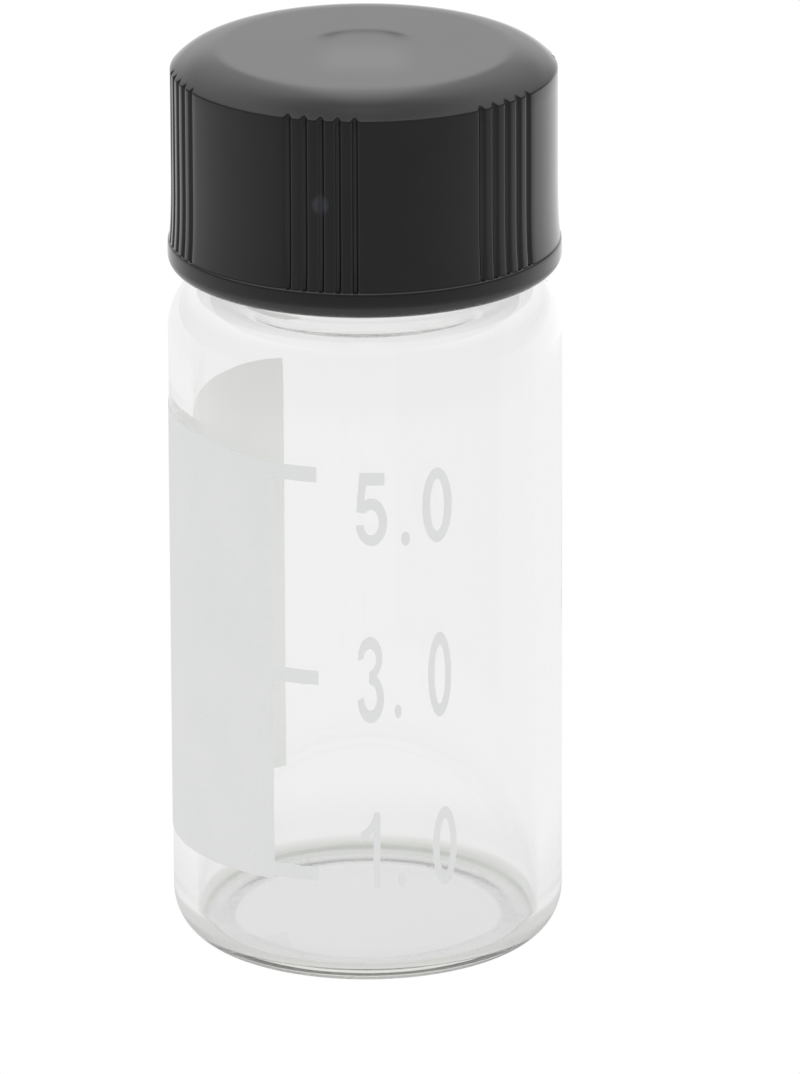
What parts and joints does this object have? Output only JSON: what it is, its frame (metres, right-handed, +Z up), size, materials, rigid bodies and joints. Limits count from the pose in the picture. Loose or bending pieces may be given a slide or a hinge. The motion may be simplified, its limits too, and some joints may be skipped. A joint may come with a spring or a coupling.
{
  "type": "sample vial",
  "caption": "Small clear glass sample vial with a printed volume scale and a grooved black screw cap, for storing and carrying a few millilitres of liquid, powder or small samples.",
  "frame": {"origin": "centre of the plane that the vial stands on, on the vial's axis", "axes": "+Z up along the vial's axis towards the cap; -Y towards the numbers of the scale, so the marking block starts on the left, at -X"},
  "size_m": [0.018, 0.018, 0.0424],
  "materials": {
    "clear_glass": "clear polished tube glass",
    "white_ink": "fired greyish white enamel ink, satin",
    "black_thermoset": "moulded black, glossy with a faint orange peel",
    "liner_foam": "soft closed-cell foam with a smooth skin"
  },
  "bodies": {
    "vial": {"vial": "clear_glass", "scale_print": "white_ink"},
    "liner": {"liner": "liner_foam"},
    "cap": {"cap": "black_thermoset"}
  },
  "joints": [
    {"name": "cap_lift", "type": "slide", "parent": "vial", "child": "liner", "axis": [0, 0, 1], "range_m": [0, 0.0085]},
    {"name": "cap_turn", "type": "hinge", "parent": "liner", "child": "cap", "pos_m": [0, 0, 0.0371], "axis": [0, 0, 1], "range_deg": [0, 1440]}
  ],
  "couplings": [
    {"joint": "cap_lift", "follows": "cap_turn", "m_per_rad": 0.00033693}
  ]
}
